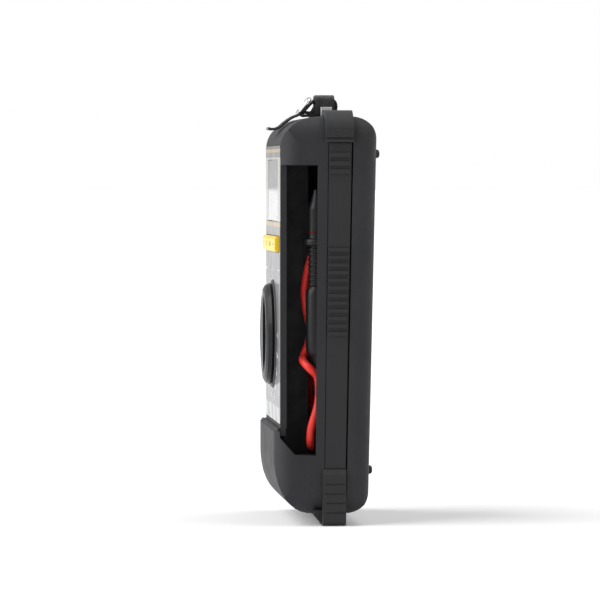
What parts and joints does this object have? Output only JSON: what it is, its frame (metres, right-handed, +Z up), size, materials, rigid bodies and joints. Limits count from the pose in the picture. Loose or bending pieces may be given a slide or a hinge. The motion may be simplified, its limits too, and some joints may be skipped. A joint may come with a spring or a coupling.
{
  "type": "digital multimeter",
  "caption": "Upright handheld digital multimeter with a rotary selector, push buttons, a hand strap and fixed test leads stowed in side pockets.",
  "frame": {"origin": "on the resting surface, under the middle of the object's box", "axes": "+Z up, -Y out of the face with the display, +X to the right of someone facing the display; the object is drawn upright on its feet"},
  "size_m": [0.104, 0.0482, 0.1812],
  "materials": {
    "shell": "dark grey spark-textured ABS",
    "rear_shell": "dark grey spark-textured ABS",
    "liner": "black moulded ABS",
    "grip": "soft-touch thermoplastic rubber",
    "label": "printed satin overlay",
    "window": "clear acrylic",
    "lcd": "grey-green liquid crystal glass",
    "white_plastic": "natural moulded plastic",
    "rubber": "silicone rubber",
    "button": "yellow moulded plastic",
    "knob": "black satin plastic",
    "board": "green solder mask on glass epoxy",
    "steel": "bright zinc plate",
    "brass": "plain brass",
    "component": "black moulded epoxy",
    "fuse_glass": "clear glass with metal ends",
    "cell": "green sleeve on steel can",
    "black_plastic": "black moulded plastic",
    "red_plastic": "red moulded plastic",
    "black_cable": "black PVC lead",
    "red_cable": "red PVC lead",
    "webbing": "black woven nylon"
  },
  "bodies": {
    "meter": {"front_case": "shell", "rear_case": "rear_shell", "battery_cover": "rear_shell", "cover_screw": "steel", "fuse_clip_right": "steel", "fuse_clip_left": "steel", "battery_contact_lower": "steel", "battery_contact_upper": "steel", "strap_bar": "steel", "black_probe_tip": "steel", "red_probe_tip": "steel", "case_screw_1": "steel", "case_screw_2": "steel", "case_screw_3": "steel", "case_screw_4": "steel", "face_label": "label", "display_window": "window", "lcd_glass": "lcd", "lcd_frame": "white_plastic", "detent_ring": "white_plastic", "lcd_connector": "rubber", "button_mat": "rubber", "black_lead_gland": "rubber", "red_lead_gland": "rubber", "back_pad_1": "rubber", "back_pad_2": "rubber", "back_pad_3": "rubber", "back_pad_4": "rubber", "main_board": "board", "fuse": "fuse_glass", "buzzer": "component", "measuring_chip": "component", "battery_tray": "liner", "lead_duct": "liner", "pocket_liner_right": "liner", "pocket_liner_left": "liner", "grip_band_right": "grip", "grip_band_left": "grip", "top_block_right": "grip", "top_block_left": "grip", "foot_right": "grip", "foot_left": "grip", "battery_right": "cell", "battery_left": "cell", "strap_loop": "webbing", "black_probe_handle": "black_plastic", "black_probe_cap": "black_plastic", "red_probe_cap": "black_plastic", "red_probe_handle": "red_plastic", "black_lead": "black_cable", "red_lead": "red_cable"},
    "selector": {"selector_knob": "knob", "contact_rotor": "brass"},
    "button_1": {"button_1": "button"},
    "button_2": {"button_2": "button"},
    "button_3": {"button_3": "button"},
    "button_4": {"button_4": "button"}
  },
  "joints": [
    {"name": "selector_turn", "type": "hinge", "parent": "meter", "child": "selector", "pos_m": [0, -0.02219, 0.07963], "axis": [0, -1, 0], "range_deg": [0, 270]},
    {"name": "button_1_press", "type": "slide", "parent": "meter", "child": "button_1", "axis": [0, 1, 0], "range_m": [0, 0.0008], "stiffness_N_per_m": 600},
    {"name": "button_2_press", "type": "slide", "parent": "meter", "child": "button_2", "axis": [0, 1, 0], "range_m": [0, 0.0008], "stiffness_N_per_m": 600},
    {"name": "button_3_press", "type": "slide", "parent": "meter", "child": "button_3", "axis": [0, 1, 0], "range_m": [0, 0.0008], "stiffness_N_per_m": 600},
    {"name": "button_4_press", "type": "slide", "parent": "meter", "child": "button_4", "axis": [0, 1, 0], "range_m": [0, 0.0008], "stiffness_N_per_m": 600}
  ]
}
